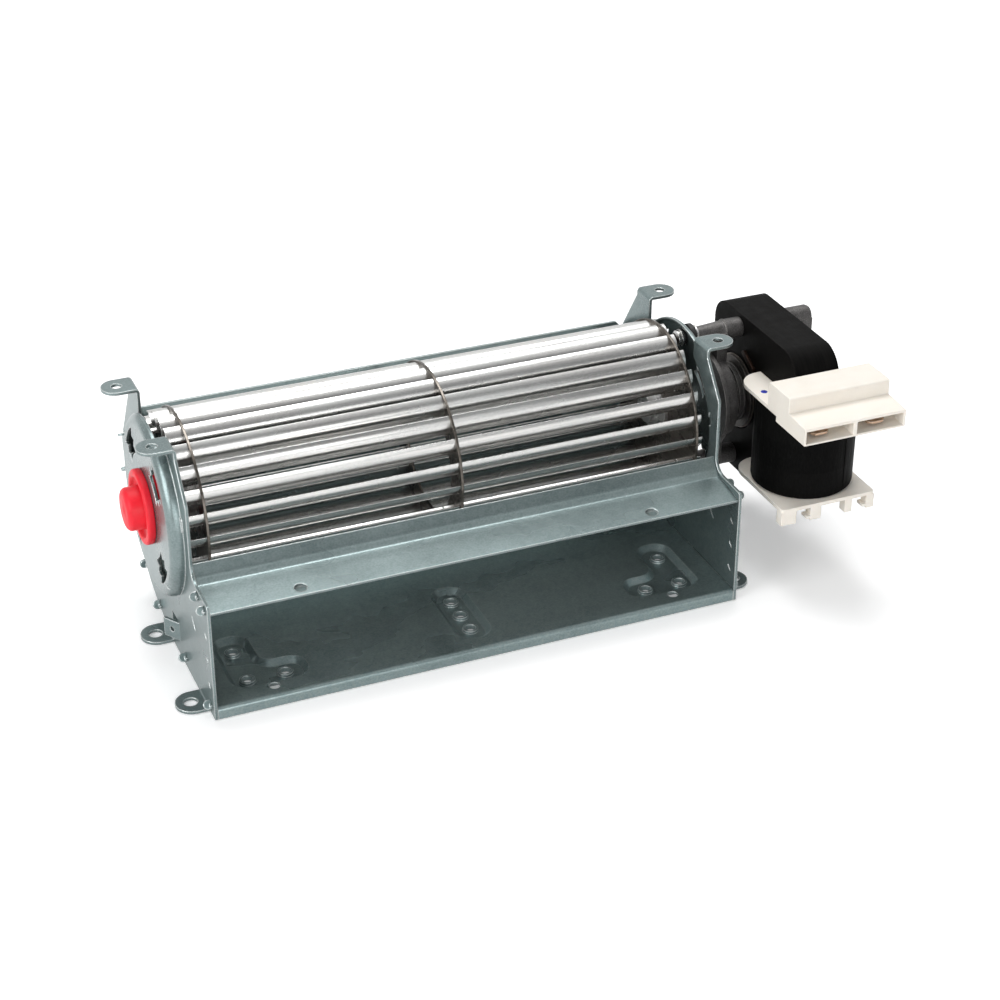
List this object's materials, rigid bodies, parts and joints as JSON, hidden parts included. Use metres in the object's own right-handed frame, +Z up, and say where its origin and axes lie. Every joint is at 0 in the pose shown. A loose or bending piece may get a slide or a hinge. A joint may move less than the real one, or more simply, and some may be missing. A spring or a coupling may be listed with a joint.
{
  "type": "cross flow fan",
  "caption": "Long bladed wheel in a sheet metal scroll housing with feet and ears, turned by a shaded pole motor at one end; air leaves by a slot at the front.",
  "frame": {"origin": "centre of the rectangle of the four foot holes, on the underside of the feet, midway between the end plates", "axes": "+X along the shaft towards the motor, -Y out of the outlet, +Z up from the feet"},
  "size_m": [0.2432, 0.1126, 0.081],
  "materials": {
    "galvanised_sheet": "blue-grey galvanised steel, satin, lightly streaked",
    "red_silicone": "smooth moulded silicone",
    "sintered_bronze": "matt sintered bronze",
    "cast_zinc": "dull die casting",
    "spring_steel": "dark spring steel",
    "black_lacquered_iron": "black lacquer over laminations",
    "cream_plastic": "moulded, slightly translucent",
    "black_tape": "wound insulating tape",
    "copper": "bare copper, a little tarnished",
    "black_rubber": "moulded rubber",
    "zinc_plated_steel": "bright zinc plating",
    "tinned_brass": "tinned, coppery",
    "wheel_aluminium": "bright rolled strip",
    "turned_aluminium": "turned",
    "ground_steel": "ground",
    "nylon": "moulded",
    "rotor_iron": "ground laminations",
    "cast_aluminium": "die cast"
  },
  "bodies": {
    "housing": {"left_end_plate": "galvanised_sheet", "right_end_plate": "galvanised_sheet", "scroll_sheet": "galvanised_sheet", "cutoff_sheet": "galvanised_sheet", "bearing_mount": "red_silicone", "left_bush": "sintered_bronze", "front_bracket": "cast_zinc", "rear_bracket": "cast_zinc", "front_bush": "sintered_bronze", "rear_bush": "sintered_bronze", "bush_clips": "spring_steel", "stator_stack": "black_lacquered_iron", "core_bar": "black_lacquered_iron", "bobbin": "cream_plastic", "coil": "black_tape", "upper_shading_ring": "copper", "lower_shading_ring": "copper", "grommets": "black_rubber", "post_washers": "zinc_plated_steel", "plate_screws": "zinc_plated_steel", "stack_screws": "zinc_plated_steel", "connector_housing": "cream_plastic", "left_terminal": "tinned_brass", "right_terminal": "tinned_brass"},
    "wheel": {"left_disc": "wheel_aluminium", "centre_ring": "wheel_aluminium", "right_disc": "wheel_aluminium", "stub_hub": "turned_aluminium", "stub_shaft": "ground_steel", "stub_washer": "nylon", "shaft_hub": "turned_aluminium", "hub_grub_screw": "spring_steel", "motor_shaft": "ground_steel", "rotor_core": "rotor_iron", "rotor_cage": "cast_aluminium", "rotor_washers": "nylon", "blade_01": "wheel_aluminium", "blade_02": "wheel_aluminium", "blade_03": "wheel_aluminium", "blade_04": "wheel_aluminium", "blade_05": "wheel_aluminium", "blade_06": "wheel_aluminium", "blade_07": "wheel_aluminium", "blade_08": "wheel_aluminium", "blade_09": "wheel_aluminium", "blade_10": "wheel_aluminium", "blade_11": "wheel_aluminium", "blade_12": "wheel_aluminium", "blade_13": "wheel_aluminium", "blade_14": "wheel_aluminium", "blade_15": "wheel_aluminium", "blade_16": "wheel_aluminium", "blade_17": "wheel_aluminium", "blade_18": "wheel_aluminium", "blade_19": "wheel_aluminium", "blade_20": "wheel_aluminium", "blade_21": "wheel_aluminium", "blade_22": "wheel_aluminium", "blade_23": "wheel_aluminium", "blade_24": "wheel_aluminium"}
  },
  "joints": [
    {"name": "wheel_spin", "type": "hinge", "parent": "housing", "child": "wheel", "pos_m": [0, 0.01925, 0.0497], "axis": [-1, 0, 0], "continuous": true}
  ]
}
